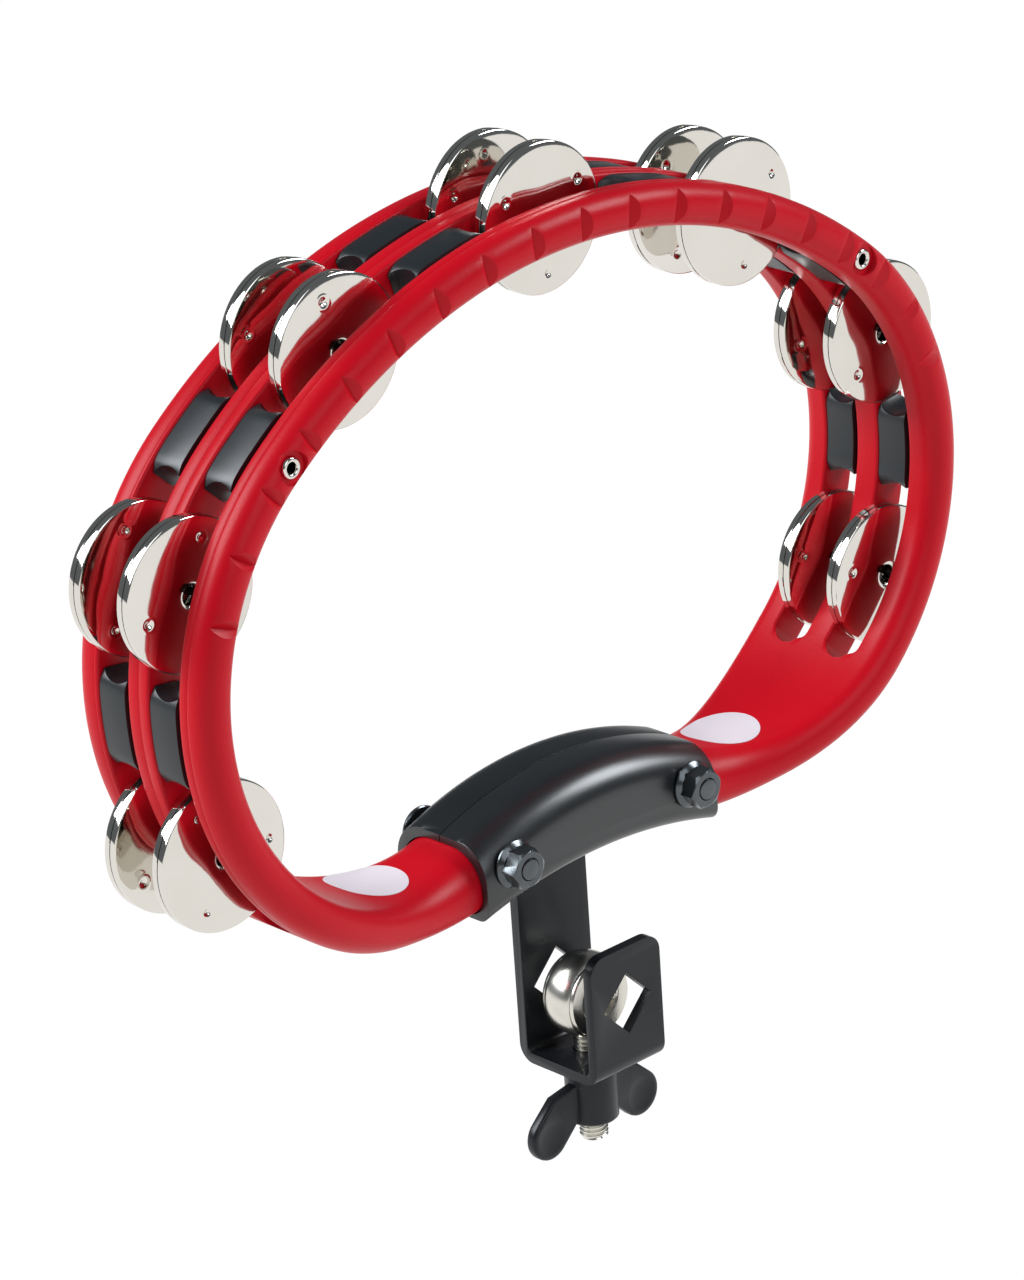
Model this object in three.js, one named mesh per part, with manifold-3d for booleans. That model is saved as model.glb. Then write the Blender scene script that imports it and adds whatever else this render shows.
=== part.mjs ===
// A frame-mounted tambourine that clamps to a rod: a moulded bean-shaped frame with two rows of slots,
// seven stations of paired jingles on pins, a two-piece handle shell and a rod clamp below it.
// Millimetres, +Z up. The origin is on the axis of the clamped rod, midway across the frame:
// the ring lies in the XZ plane, the rod runs along Y, and -Y is the front.
import * as THREE from 'three';
import { mergeVertices } from 'three/addons/utils/BufferGeometryUtils.js';
import Module from 'manifold-3d';

const wasm = await Module();
wasm.setup();

const GAP = 0.3; // clearance left between pieces that touch

// Centreline of the frame: four tangent arcs on each side of the middle plane
const TOP_RADIUS = 163.8;
const SIDE_RADIUS = 77.4;
const CORNER_RADIUS = 61.9;
const HANDLE_RADIUS = 119.6; // bends the other way, so the handle rises between the corners
const SIDE_CENTRE = [54.65, 122.2];
const CORNER_TURN = THREE.MathUtils.degToRad(12.7); // where the corner starts, before the lowest point

// Cross-section of the band
const RAIL_THICK = 5.8; // from the centreline to the outer or the inner surface
const GRIP_INNER = 9.7; // the same in the handle, to its upper and to its lower surface
const GRIP_OUTER = 8.4;
const GRIP_INNER_SPAN = [22, 80]; // distances from the middle between which the band thins out
const GRIP_OUTER_SPAN = [34, 70];
const BAND_HALF = 25.25;
const HANDLE_HALF = 15.0;
const TAPER_SPAN = [43, 108]; // distances from the middle between which the band widens
const EDGE_ROUND = 5.5;
const GRIP_ROUND = { across: 13, deep: 11 }; // of the handle's upper corners

// Two rows of slots, a middle rail between them
const ROW = 9.8;
const SLOT_HALF = 5.8;
const SLOT_END = 252; // distance along the centreline from the top

// Jingle stations, the separators between them and the grip notches, by distance from the top
const STATION_PITCH = 73.5;
const STATIONS = [-3, -2, -1, 0, 1, 2, 3];
const SEPARATORS = [-2.5, -1.5, -0.5, 0.5, 1.5, 2.5];
const RIVET_PLACES = [-1.5, 1.5];
const NOTCH_PITCH = 17;
const NOTCHES_EACH_SIDE = 9;
const NOTCH_FLOOR = -23.1;
const NOTCH_HALF = 3.5; // half the width of the cutter at its open side
const NOTCH_OPEN = -26.5;

const PIN_RADIUS = 1.0;
const PIN_SPAN = [-20, 24];
const JINGLE_RADIUS = 20;
const JINGLE_HOLE = 2.5;
const JINGLE_DEPTH = 2.05;
const JINGLE_SHEET = 0.7;
const JINGLE_DOME = 0.9;
const JINGLE_HANG = [-1.2, -0.4]; // the discs hang to one side of their pins, in the wide holes
const PAIR_CENTRE = { front: -8.1, back: 10.5 };
const PAIR_GAP = 0.2;

const RIVET = { bore: 1.45, tube: 1.95, flange: 2.9, lip: 0.7, face: 24.2, hole: 2.3, sink: 4.5 };

const SEPARATOR_LENGTH = 26;
const SEPARATOR_DISH = 2.75; // depth of the hollow in each end
const SEPARATOR_THICK = 5.4;
const SEPARATOR_SIDES = [-4.4, 5.5]; // from the middle of the slot: a gap is left on the front side

// Handle shells, the bolts through them and the clamp bracket
const SHELL = {
  half: 17.5,
  end: 43,
  crown: 67.1,
  crownRadius: 112,
  belly: 43.4,
  bellyRadius: 157,
  topRound: 10,
  bottomRound: 4,
  pad: 15, // how far back the filling behind the strip's head reaches
};
const BOLT = {
  x: 33.2,
  z: 51.8,
  radius: 3,
  hex: 10,
  flange: 6.6,
  flangeThick: 1.3,
  nutThick: 4.7,
  head: 6.6,
  headThick: 3.2,
  socket: 4,
  socketDeep: 1.8,
  proud: 0.4, // of the bolt's end beyond its nut
};
const STRIP = {
  width: 26,
  thick: 3,
  front: -22.5,
  back: 7.6,
  top: 16.5,
  base: -21.2,
  bend: 5,
  corner: 5,
};
const NECK_BOTTOM = 40; // lower end of the recess for the strip in the handle
const HEAD = { half: 38, reach: 5.5, z: 56, radius: 125 };
const DIAMOND_SIDE = 12.7;
const CLAMP_Y = -5.85; // the eye bolt stands a little behind the middle of the strip
const EYE = {
  z: -2,
  bore: 6.4,
  waist: 12,
  lip: 10.6,
  lipLength: 1.2,
  length: 12,
  shank: 4,
  end: -45.5,
  chamfer: 0.8,
};
const WING_NUT = {
  top: -21.5,
  bottom: -39.4,
  radius: 7.3,
  bore: 4.3,
  thick: 3.4,
  tip: [17.2, -38.9],
  tipRadius: 6.7,
  tipFrom: 0.77, // where the wing's edges meet its round tip, in radians from +X
  tipTo: -2.33,
  shoulder: [15.3, -28.2],
  root: [-25.7, -33],
};

// ---- solids ----

function solid(geometry) {
  const bare = geometry.index ? geometry.toNonIndexed() : geometry.clone();
  bare.deleteAttribute('normal');
  bare.deleteAttribute('uv');
  const merged = mergeVertices(bare, 1e-4);
  const vertProperties = Float32Array.from(merged.attributes.position.array);
  const triVerts = Uint32Array.from(merged.index.array);
  return new wasm.Manifold(new wasm.Mesh({ numProp: 3, vertProperties, triVerts }));
}

function geometryOf(manifold) {
  const mesh = manifold.getMesh();
  const geometry = new THREE.BufferGeometry();
  geometry.setAttribute('position', new THREE.BufferAttribute(mesh.vertProperties, 3));
  geometry.setIndex(new THREE.BufferAttribute(mesh.triVerts, 1));
  geometry.computeVertexNormals();
  return geometry;
}

// An outline drawn in X and Z, made solid from one Y to another; a round softens its edges
function slab(shape, low, high, round = 0, curveSegments = 12) {
  const geometry = new THREE.ExtrudeGeometry(shape, {
    depth: high - low - 2 * round,
    curveSegments,
    bevelEnabled: round > 0,
    bevelThickness: round,
    bevelSize: round,
    bevelOffset: -round,
    bevelSegments: 3,
  });
  geometry.rotateX(Math.PI / 2);
  geometry.translate(0, high - round, 0);
  return geometry;
}

function rod(radius, low, high, x, z, sides = 12) {
  const geometry = new THREE.CylinderGeometry(radius, radius, high - low, sides);
  geometry.translate(x, (low + high) / 2, z);
  return geometry;
}

function outline(points) {
  return new THREE.Shape(points.map(([x, z]) => new THREE.Vector2(x, z)));
}

// ---- the frame's path ----

function centrelineArcs() {
  const [sideX, sideZ] = SIDE_CENTRE;
  const topDrop = Math.sqrt((TOP_RADIUS - SIDE_RADIUS) ** 2 - sideX ** 2);
  const topTurn = Math.atan2(sideX, topDrop);
  const cornerX = sideX + (SIDE_RADIUS - CORNER_RADIUS) * Math.sin(CORNER_TURN);
  const cornerZ = sideZ - (SIDE_RADIUS - CORNER_RADIUS) * Math.cos(CORNER_TURN);
  const handleTurn = Math.asin(cornerX / (CORNER_RADIUS + HANDLE_RADIUS));
  const handleZ = cornerZ - (CORNER_RADIUS + HANDLE_RADIUS) * Math.cos(handleTurn);
  const corner = Math.PI - CORNER_TURN;
  const sideTurn = corner - topTurn;
  const cornerTurn = CORNER_TURN + handleTurn;
  return [
    { centre: [0, sideZ - topDrop], radius: TOP_RADIUS, from: 0, turn: topTurn, way: 1 },
    { centre: [sideX, sideZ], radius: SIDE_RADIUS, from: topTurn, turn: sideTurn, way: 1 },
    { centre: [cornerX, cornerZ], radius: CORNER_RADIUS, from: corner, turn: cornerTurn, way: 1 },
    { centre: [0, handleZ], radius: HANDLE_RADIUS, from: handleTurn, turn: handleTurn, way: -1 },
  ];
}

const ARCS = centrelineArcs();
const HALF_LENGTH = ARCS.reduce((sum, arc) => sum + arc.radius * arc.turn, 0);

// The point at a distance along the centreline from the top, with the outward direction there
function onCentreline(distance) {
  const side = distance < 0 ? -1 : 1;
  let rest = Math.min(Math.abs(distance), HALF_LENGTH);
  let arc = ARCS[0];
  for (const next of ARCS) {
    arc = next;
    if (rest <= arc.radius * arc.turn) break;
    if (arc !== ARCS[ARCS.length - 1]) rest -= arc.radius * arc.turn;
  }
  const angle = arc.from + (arc.way * rest) / arc.radius;
  const [sin, cos] = [Math.sin(angle), Math.cos(angle)];
  return {
    x: side * (arc.centre[0] + arc.radius * sin),
    z: arc.centre[1] + arc.radius * cos,
    outX: side * arc.way * sin,
    outZ: arc.way * cos,
    low: Math.abs(distance) > SLOT_END,
  };
}

function offCentreline(distance, off) {
  const p = onCentreline(distance);
  return [p.x + off * p.outX, p.z + off * p.outZ];
}

// The stretch of the ring between two distances and two offsets from the centreline
function sector(from, to, inner, outer, steps) {
  const along = Array.from({ length: steps + 1 }, (_, i) => from + ((to - from) * i) / steps);
  const outside = along.map((d) => offCentreline(d, outer));
  const inside = along.map((d) => offCentreline(d, inner)).reverse();
  return outline([...outside, ...inside]);
}

// A cylinder that points out from the centreline at a distance along it
function spoke(radius, distance, y, sides = 16) {
  const p = onCentreline(distance);
  const geometry = new THREE.CylinderGeometry(radius, radius, 6 * RAIL_THICK, sides);
  geometry.rotateZ(Math.atan2(p.outZ, p.outX) - Math.PI / 2);
  geometry.rotateX(Math.PI / 2);
  geometry.translate(p.x, y, p.z);
  return geometry;
}

// ---- frame ----

// The whole band without slots, swept round the centreline; spare grows it on every side
function band(spare = 0) {
  const cornerSteps = 3;
  const sectionSides = 4 * (cornerSteps + 1);
  const stepsRound = 88;
  const geometry = new THREE.TorusGeometry(100, 5, sectionSides, stepsRound);
  const position = geometry.attributes.position;
  for (let i = 0; i < position.count; i += 1) {
    const around = i % (stepsRound + 1);
    const section = Math.floor(i / (stepsRound + 1)) % sectionSides;
    const p = onCentreline(HALF_LENGTH * (1 - (2 * (around % stepsRound)) / stepsRound));
    const wide = p.low ? THREE.MathUtils.smoothstep(Math.abs(p.x), ...TAPER_SPAN) : 1;
    const thin = p.low ? THREE.MathUtils.smoothstep(Math.abs(p.x), ...GRIP_INNER_SPAN) : 1;
    const lean = p.low ? THREE.MathUtils.smoothstep(Math.abs(p.x), ...GRIP_OUTER_SPAN) : 1;
    const half = THREE.MathUtils.lerp(HANDLE_HALF, BAND_HALF, wide) + spare;
    const inner = THREE.MathUtils.lerp(GRIP_INNER, RAIL_THICK, thin) + spare;
    const outer = THREE.MathUtils.lerp(GRIP_OUTER, RAIL_THICK, lean) + spare;
    const corner = Math.floor(section / (cornerSteps + 1));
    const angle = (Math.PI / 2) * (corner + (section % (cornerSteps + 1)) / cornerSteps);
    const facesOut = corner === 0 || corner === 3;
    const across = facesOut ? EDGE_ROUND : THREE.MathUtils.lerp(GRIP_ROUND.across, EDGE_ROUND, thin);
    const deep = facesOut ? EDGE_ROUND : THREE.MathUtils.lerp(GRIP_ROUND.deep, EDGE_ROUND, thin);
    const off = (facesOut ? outer - deep : deep - inner) + deep * Math.cos(angle);
    const forward = (corner < 2 ? 1 : -1) * (half - across) + across * Math.sin(angle);
    position.setXYZ(i, p.x + off * p.outX, -forward, p.z + off * p.outZ);
  }
  return solid(geometry);
}

function slotCutters(row) {
  const reach = RAIL_THICK + 3;
  const straight = SLOT_END - SLOT_HALF;
  const cut = slab(sector(-straight, straight, -reach, reach, 60), row - SLOT_HALF, row + SLOT_HALF);
  return [solid(cut), solid(spoke(SLOT_HALF, straight, row)), solid(spoke(SLOT_HALF, -straight, row))];
}

// A shallow V cut across the round front face, leaving a crescent
function notchCutter(distance) {
  const wedge = outline([[0, NOTCH_FLOOR], [-NOTCH_HALF, NOTCH_OPEN], [NOTCH_HALF, NOTCH_OPEN]]);
  const geometry = new THREE.ExtrudeGeometry(wedge, { depth: 2 * RAIL_THICK, bevelEnabled: false });
  const p = onCentreline(distance);
  geometry.translate(0, 0, -RAIL_THICK);
  geometry.rotateY(Math.atan2(p.outX, p.outZ));
  geometry.translate(p.x, 0, p.z);
  return solid(geometry);
}

// The strip's arched head lies in a recess that opens to the back; its neck leaves downwards
function headOutline(spare) {
  const [half, reach] = [HEAD.half + spare, HEAD.reach + spare];
  const shape = new THREE.Shape();
  const rise = Math.asin(half / HEAD.radius);
  const centre = HEAD.z - HEAD.radius;
  shape.absarc(0, centre, HEAD.radius + reach, Math.PI / 2 + rise, Math.PI / 2 - rise, true);
  shape.absarc(0, centre, HEAD.radius - reach, Math.PI / 2 - rise, Math.PI / 2 + rise, false);
  return shape;
}

function neckOutline(spare, bottom) {
  const half = STRIP.width / 2 + spare;
  return outline([[-half, bottom], [half, bottom], [half, HEAD.z], [-half, HEAD.z]]);
}

function makeFrame() {
  let body = band();
  const cutters = [...slotCutters(-ROW), ...slotCutters(ROW)];
  for (let k = -NOTCHES_EACH_SIDE; k <= NOTCHES_EACH_SIDE; k += 1) {
    cutters.push(notchCutter(k * NOTCH_PITCH));
  }
  for (const station of STATIONS) {
    const p = onCentreline(station * STATION_PITCH);
    cutters.push(solid(rod(PIN_RADIUS + GAP, PIN_SPAN[0] - GAP, BAND_HALF + 1, p.x, p.z)));
  }
  for (const place of RIVET_PLACES) {
    const p = onCentreline(place * STATION_PITCH);
    const floor = RIVET.face - RIVET.lip - GAP;
    cutters.push(solid(rod(RIVET.hole, -BAND_HALF - 1, BAND_HALF + 1, p.x, p.z)));
    cutters.push(solid(rod(RIVET.sink, -BAND_HALF - 1, -floor, p.x, p.z, 16)));
    cutters.push(solid(rod(RIVET.sink, floor, BAND_HALF + 1, p.x, p.z, 16)));
  }
  for (const side of [-1, 1]) {
    cutters.push(solid(rod(BOLT.radius + GAP, -BAND_HALF, BAND_HALF, side * BOLT.x, BOLT.z)));
  }
  const recessFloor = STRIP.back - STRIP.thick - GAP;
  cutters.push(solid(slab(headOutline(2 * GAP), recessFloor, BAND_HALF)));
  cutters.push(solid(slab(neckOutline(2 * GAP, NECK_BOTTOM), recessFloor, BAND_HALF)));
  for (const cutter of cutters) body = body.subtract(cutter);
  return geometryOf(body);
}

// A block that fills the slot between two stations, its ends hollowed for the discs
function makeSeparator(place, row) {
  const middle = place * STATION_PITCH;
  const half = SEPARATOR_LENGTH / 2;
  const dishRadius = (SLOT_HALF ** 2 + SEPARATOR_DISH ** 2) / (2 * SEPARATOR_DISH);
  const centre = half - SEPARATOR_DISH + dishRadius;
  const plan = sector(middle - half, middle + half, -SEPARATOR_THICK, SEPARATOR_THICK, 5);
  const [front, back] = SEPARATOR_SIDES;
  let block = solid(slab(plan, row + front, row + back));
  block = block.subtract(solid(spoke(dishRadius, middle - centre, row, 16)));
  block = block.subtract(solid(spoke(dishRadius, middle + centre, row, 16)));
  if (RIVET_PLACES.includes(place)) {
    const p = onCentreline(middle);
    block = block.subtract(solid(rod(RIVET.hole, row - ROW, row + ROW, p.x, p.z)));
  }
  return geometryOf(block);
}

function makeRivet(place) {
  const { bore, tube, flange, lip, face } = RIVET;
  const section = [[bore, -face], [flange, -face], [flange, lip - face], [tube, lip - face],
    [tube, face - lip], [flange, face - lip], [flange, face], [bore, face], [bore, -face]];
  const geometry = new THREE.LatheGeometry(section.map(([r, y]) => new THREE.Vector2(r, y)), 12);
  const p = onCentreline(place * STATION_PITCH);
  geometry.translate(p.x, 0, p.z);
  return geometryOf(solid(geometry));
}

// ---- jingles ----

function makePin(station) {
  const p = onCentreline(station * STATION_PITCH);
  return geometryOf(solid(rod(PIN_RADIUS, ...PIN_SPAN, p.x, p.z)));
}

// A thin disc with a low dome round its hole and a rim turned back towards its partner
function makeJingle(station, rowName, facing) {
  const edge = JINGLE_RADIUS;
  const sheet = JINGLE_SHEET;
  const section = [[JINGLE_HOLE, -JINGLE_DOME], [edge, 0], [edge, JINGLE_DEPTH],
    [edge - sheet, JINGLE_DEPTH], [edge - sheet, sheet], [JINGLE_HOLE, sheet - JINGLE_DOME],
    [JINGLE_HOLE, -JINGLE_DOME]];
  const geometry = new THREE.LatheGeometry(section.map(([r, y]) => new THREE.Vector2(r, y)), 16);
  if (facing === 'rear') geometry.rotateX(Math.PI);
  const away = (facing === 'rear' ? 1 : -1) * (JINGLE_DEPTH + PAIR_GAP / 2);
  const p = onCentreline(station * STATION_PITCH);
  geometry.translate(p.x + JINGLE_HANG[0], PAIR_CENTRE[rowName] + away, p.z + JINGLE_HANG[1]);
  return geometryOf(solid(geometry));
}

// ---- handle shells and their bolts ----

// The bar that both shells are cut from: a rounded rectangle between a top arc and a bottom arc
function shellBar() {
  const { half, end, crown, crownRadius, belly, bellyRadius, topRound, bottomRound } = SHELL;
  const geometry = new THREE.CylinderGeometry(1, 1, 2 * end, 28, 14);
  geometry.rotateZ(Math.PI / 2);
  const position = geometry.attributes.position;
  for (let i = 0; i < position.count; i += 1) {
    const [x, y, z] = [position.getX(i), position.getY(i), position.getZ(i)];
    const upper = z > -1e-6;
    const round = upper ? topRound : bottomRound;
    const side = Math.abs(y) < 1e-6 ? 0 : Math.sign(y);
    const top = crown - crownRadius + Math.sqrt(crownRadius ** 2 - x ** 2);
    const bottom = belly - bellyRadius + Math.sqrt(bellyRadius ** 2 - x ** 2);
    const centre = upper ? top - round : bottom + round;
    position.setXYZ(i, x, side * (half - round) + round * y, centre + round * z);
  }
  return solid(geometry);
}

function makeShell(side) {
  const keep = new THREE.BoxGeometry(3 * SHELL.end, SHELL.half, SHELL.crown);
  keep.translate(0, (side * (SHELL.half + GAP)) / 2, (SHELL.belly + SHELL.crown) / 2);
  let shell = shellBar().intersect(solid(keep));
  shell = shell.subtract(band(GAP));
  if (side > 0) {
    // A pad fills the recess behind the strip's head, and a slot in the belly lets the strip out
    const pad = slab(headOutline(0), STRIP.back + GAP, SHELL.pad);
    const neck = neckOutline(GAP, SHELL.belly / 2);
    const strap = slab(neck, STRIP.back - STRIP.thick - GAP, STRIP.back + GAP);
    shell = shell.add(solid(pad)).subtract(solid(strap));
  }
  for (const x of [-BOLT.x, BOLT.x]) {
    shell = shell.subtract(solid(rod(BOLT.radius + GAP, -SHELL.half - 1, SHELL.half + 1, x, BOLT.z)));
  }
  return geometryOf(shell);
}

function hexPrism(flats, low, high, x) {
  const corner = flats / Math.sqrt(3);
  const geometry = new THREE.CylinderGeometry(corner, corner, high - low, 6);
  geometry.rotateY(Math.PI / 6);
  geometry.translate(x, (low + high) / 2, BOLT.z);
  return solid(geometry);
}

function makeBolt(x) {
  const seat = SHELL.half + GAP;
  const end = -seat - BOLT.flangeThick - BOLT.nutThick - BOLT.proud;
  const shank = solid(rod(BOLT.radius, end, seat + 1, x, BOLT.z));
  const top = seat + BOLT.headThick;
  const dome = [[0, 0], [1, 0], [1, 0.25], [0.87, 0.62], [0.64, 0.87], [0.5, 0.94], [0, 0.94]];
  const head = new THREE.LatheGeometry(
    dome.map(([r, y]) => new THREE.Vector2(r * BOLT.head, seat + y * BOLT.headThick)),
    20,
  );
  head.translate(x, 0, BOLT.z);
  const socket = hexPrism(BOLT.socket, top - BOLT.socketDeep, top + 1, x);
  return geometryOf(shank.add(solid(head)).subtract(socket));
}

function makeNut(x) {
  const seat = -SHELL.half - GAP;
  const flange = solid(rod(BOLT.flange, seat - BOLT.flangeThick, seat, x, BOLT.z, 20));
  const front = seat - BOLT.flangeThick - BOLT.nutThick;
  const hex = hexPrism(BOLT.hex, front, seat - BOLT.flangeThick / 2, x);
  const bore = solid(rod(BOLT.radius + GAP, seat - 10, seat + 1, x, BOLT.z));
  return geometryOf(flange.add(hex).subtract(bore));
}

// ---- rod clamp ----

function stripProfile() {
  const { front, back, thick, base, bend } = STRIP;
  const inside = bend - thick;
  const shape = new THREE.Shape();
  shape.moveTo(front, STRIP.top - STRIP.corner);
  shape.lineTo(front, base + bend);
  shape.absarc(front + bend, base + bend, bend, Math.PI, 1.5 * Math.PI, false);
  shape.absarc(back - bend, base + bend, bend, 1.5 * Math.PI, 2 * Math.PI, false);
  shape.lineTo(back, HEAD.z);
  shape.lineTo(back - thick, HEAD.z);
  shape.absarc(back - bend, base + bend, inside, 0, -Math.PI / 2, true);
  shape.absarc(front + bend, base + bend, inside, -Math.PI / 2, -Math.PI, true);
  shape.lineTo(front + thick, STRIP.top - STRIP.corner);
  return shape;
}

function frontPlateOutline() {
  const half = STRIP.width / 2;
  const { top, corner } = STRIP;
  const shape = new THREE.Shape();
  shape.moveTo(half, 0);
  shape.lineTo(half, top - corner);
  shape.absarc(half - corner, top - corner, corner, 0, Math.PI / 2, false);
  shape.absarc(corner - half, top - corner, corner, Math.PI / 2, Math.PI, false);
  shape.lineTo(-half, 0);
  return shape;
}

function makeBracket() {
  const { width, thick, front, back } = STRIP;
  const strip = new THREE.ExtrudeGeometry(stripProfile(), {
    depth: width,
    bevelEnabled: false,
    curveSegments: 4,
  });
  strip.translate(0, 0, -width / 2);
  const yToX = new THREE.Matrix4().makeBasis(
    new THREE.Vector3(0, 1, 0),
    new THREE.Vector3(0, 0, 1),
    new THREE.Vector3(1, 0, 0),
  );
  strip.applyMatrix4(yToX);
  let bracket = solid(strip);
  bracket = bracket.add(solid(slab(frontPlateOutline(), front, front + thick)));
  bracket = bracket.add(solid(slab(headOutline(0), back - thick, back)));
  const across = DIAMOND_SIDE / Math.SQRT2;
  const diamond = outline([[across, 0], [0, across], [-across, 0], [0, -across]]);
  bracket = bracket.subtract(solid(slab(diamond, front - 1, back + 1)));
  const studHole = new THREE.CylinderGeometry(EYE.shank + GAP, EYE.shank + GAP, 12, 20);
  studHole.rotateX(Math.PI / 2);
  studHole.translate(0, CLAMP_Y, STRIP.base);
  bracket = bracket.subtract(solid(studHole));
  for (const x of [-BOLT.x, BOLT.x]) {
    bracket = bracket.subtract(solid(rod(BOLT.radius + GAP, front, back + 1, x, BOLT.z)));
  }
  return geometryOf(bracket);
}

function makeEyeBolt() {
  const half = EYE.length / 2;
  const straight = half - EYE.lipLength;
  const section = [[EYE.bore, -half], [EYE.lip, -half], [EYE.lip, -straight], [EYE.waist, 0],
    [EYE.lip, straight], [EYE.lip, half], [EYE.bore, half], [EYE.bore, -half]];
  const ring = new THREE.LatheGeometry(section.map(([r, y]) => new THREE.Vector2(r, y)), 28);
  ring.translate(0, CLAMP_Y, EYE.z);
  const top = EYE.z - EYE.bore - 1.5;
  const stud = [[0, EYE.end], [EYE.shank - EYE.chamfer, EYE.end], [EYE.shank, EYE.end + EYE.chamfer],
    [EYE.shank, top], [0, top]];
  const shank = new THREE.LatheGeometry(stud.map(([r, y]) => new THREE.Vector2(r, y)), 20);
  shank.rotateX(Math.PI / 2);
  shank.translate(0, CLAMP_Y, 0);
  return geometryOf(solid(ring).add(solid(shank)));
}

function wingOutline(side) {
  const { tip, tipRadius, tipFrom, tipTo, shoulder, root } = WING_NUT;
  const shape = new THREE.Shape();
  shape.moveTo(0, root[0]);
  shape.lineTo(...shoulder);
  shape.absarc(...tip, tipRadius, tipFrom, tipTo, true);
  shape.lineTo(0, root[1]);
  const points = shape.getPoints(10).map((p) => [side * p.x, p.y]);
  return outline(points);
}

function makeWingNut() {
  const { top, bottom, radius, bore, thick } = WING_NUT;
  const length = top - bottom;
  const barrelShape = new THREE.CylinderGeometry(radius, radius, length, 24);
  barrelShape.rotateX(Math.PI / 2);
  barrelShape.translate(0, CLAMP_Y, bottom + length / 2);
  let nut = solid(barrelShape);
  for (const side of [-1, 1]) {
    nut = nut.add(solid(slab(wingOutline(side), CLAMP_Y - thick / 2, CLAMP_Y + thick / 2)));
  }
  const boreShape = new THREE.CylinderGeometry(bore, bore, 3 * length, 20);
  boreShape.rotateX(Math.PI / 2);
  boreShape.translate(0, CLAMP_Y, bottom);
  return geometryOf(nut.subtract(solid(boreShape)));
}

// ---- assembly ----

const FINISH = {
  red: { color: '#c3162a', roughness: 0.35, metalness: 0 },
  separator: { color: '#24282b', roughness: 0.45, metalness: 0 },
  nickel: { color: '#c9c7c0', roughness: 0.12, metalness: 1 },
  pin: { color: '#4a4441', roughness: 0.4, metalness: 1 },
  shell: { color: '#1f2225', roughness: 0.4, metalness: 0 },
  strip: { color: '#2a2d31', roughness: 0.45, metalness: 0.3 },
  hardware: { color: '#3f4447', roughness: 0.3, metalness: 1 },
};

const tambourine = new THREE.Group();

function place(name, geometry, finish) {
  const mesh = new THREE.Mesh(geometry, new THREE.MeshStandardMaterial(FINISH[finish]));
  mesh.name = name;
  tambourine.add(mesh);
}

place('frame', makeFrame(), 'red');
for (const [rowName, row] of [['front', -ROW], ['back', ROW]]) {
  SEPARATORS.forEach((between, i) => {
    place(`separator_${rowName}_${i + 1}`, makeSeparator(between, row), 'separator');
  });
}
RIVET_PLACES.forEach((at, i) => place(`rivet_${i + 1}`, makeRivet(at), 'nickel'));
STATIONS.forEach((station, i) => {
  place(`jingle_pin_${i + 1}`, makePin(station), 'pin');
  for (const rowName of ['front', 'back']) {
    for (const facing of ['fore', 'rear']) {
      place(`jingle_${i + 1}_${rowName}_${facing}`, makeJingle(station, rowName, facing), 'nickel');
    }
  }
});
place('handle_shell_front', makeShell(-1), 'shell');
place('handle_shell_back', makeShell(1), 'shell');
for (const [hand, x] of [['left', -BOLT.x], ['right', BOLT.x]]) {
  place(`handle_bolt_${hand}`, makeBolt(x), 'hardware');
  place(`flange_nut_${hand}`, makeNut(x), 'hardware');
}
place('clamp_bracket', makeBracket(), 'strip');
place('eye_bolt', makeEyeBolt(), 'nickel');
place('wing_nut', makeWingNut(), 'strip');

export default tambourine;
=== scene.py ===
"""A double-row tambourine on its rod clamp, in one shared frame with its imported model.

Pieces are drawn in millimetres and made in metres. X runs along the ring's width, Y across the band
with the front at -Y, and Z up. The origin is on the axis of the clamped rod.
"""
from math import asin, atan2, copysign, cos, hypot, pi, radians, sin, sqrt

import bmesh
import bpy
from mathutils import Matrix, Vector


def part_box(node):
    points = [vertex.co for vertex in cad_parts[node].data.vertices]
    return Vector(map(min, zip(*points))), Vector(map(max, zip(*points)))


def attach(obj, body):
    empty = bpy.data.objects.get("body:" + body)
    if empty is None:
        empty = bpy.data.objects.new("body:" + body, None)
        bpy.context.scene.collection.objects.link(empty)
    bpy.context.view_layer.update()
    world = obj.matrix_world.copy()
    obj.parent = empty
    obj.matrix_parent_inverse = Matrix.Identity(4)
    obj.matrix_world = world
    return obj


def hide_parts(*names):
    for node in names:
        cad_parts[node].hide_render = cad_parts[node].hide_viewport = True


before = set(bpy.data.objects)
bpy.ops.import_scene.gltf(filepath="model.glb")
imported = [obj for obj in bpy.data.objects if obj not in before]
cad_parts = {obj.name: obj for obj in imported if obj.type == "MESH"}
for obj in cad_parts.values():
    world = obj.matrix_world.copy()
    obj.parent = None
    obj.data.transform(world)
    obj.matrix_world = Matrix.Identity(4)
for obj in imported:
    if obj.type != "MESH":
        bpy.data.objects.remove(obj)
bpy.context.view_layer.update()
scene = bpy.context.scene
MM = 0.001


# ---- camera and studio ----
# A long lens looks a little down on the object. A glowing white floor lies far below it, and three
# soft boxes stand round it: a key behind on the left, and fills at the front and on the right.

CAMERA_LENS = 137.65
CAMERA_SENSOR = 36
CAMERA_PLACE = (-0.8166, -0.8899, 0.5773)
CAMERA_TURN = (68.419, 3.682, -43.554)
FLOOR_HEIGHT = -0.30
FLOOR_RADIUS = 9.0
FLOOR_GLOW = 1.02
SKY_COLOUR = (0.85, 0.93, 1, 1)
SKY_STRENGTH = 0.14
LIGHT_COLOUR = (0.92, 0.96, 1)
RING_MIDDLE = Vector((0, 0, 0.12))

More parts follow.
